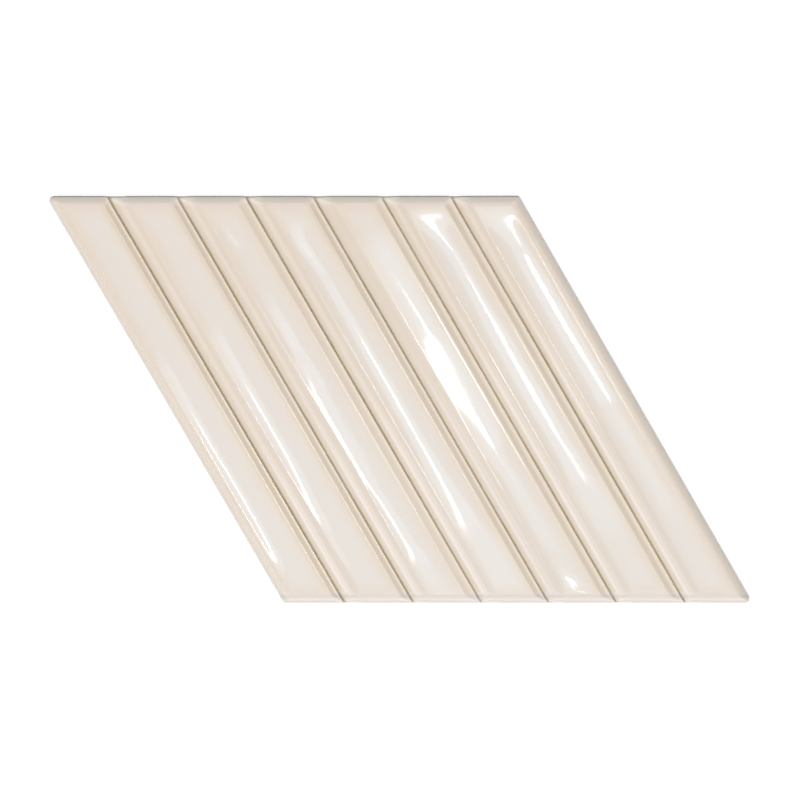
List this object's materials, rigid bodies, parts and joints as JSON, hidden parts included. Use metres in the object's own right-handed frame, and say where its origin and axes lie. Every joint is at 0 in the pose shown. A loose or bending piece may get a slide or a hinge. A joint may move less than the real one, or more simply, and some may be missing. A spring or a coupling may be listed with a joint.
{
  "type": "ceramic wall tile",
  "caption": "Glossy cream rhombus wall tile, pressed into raised, slightly dished strips along its slanted sides, with narrow grooves between them and a keyed back for adhesive.",
  "frame": {"origin": "middle of the back face: the point where the rhombus's diagonals cross, on the plane that the tile is bedded on", "axes": "+X along the two level sides, towards the blunt end of the lean (the long way of the bounding box); +Y across the level sides, up in the picture; +Z out of the glazed face"},
  "size_m": [0.2258, 0.1316, 0.009],
  "materials": {
    "glaze": "glossy cream glaze"
  },
  "bodies": {
    "root": {"rhombus_tile": "glaze"}
  },
  "joints": []
}
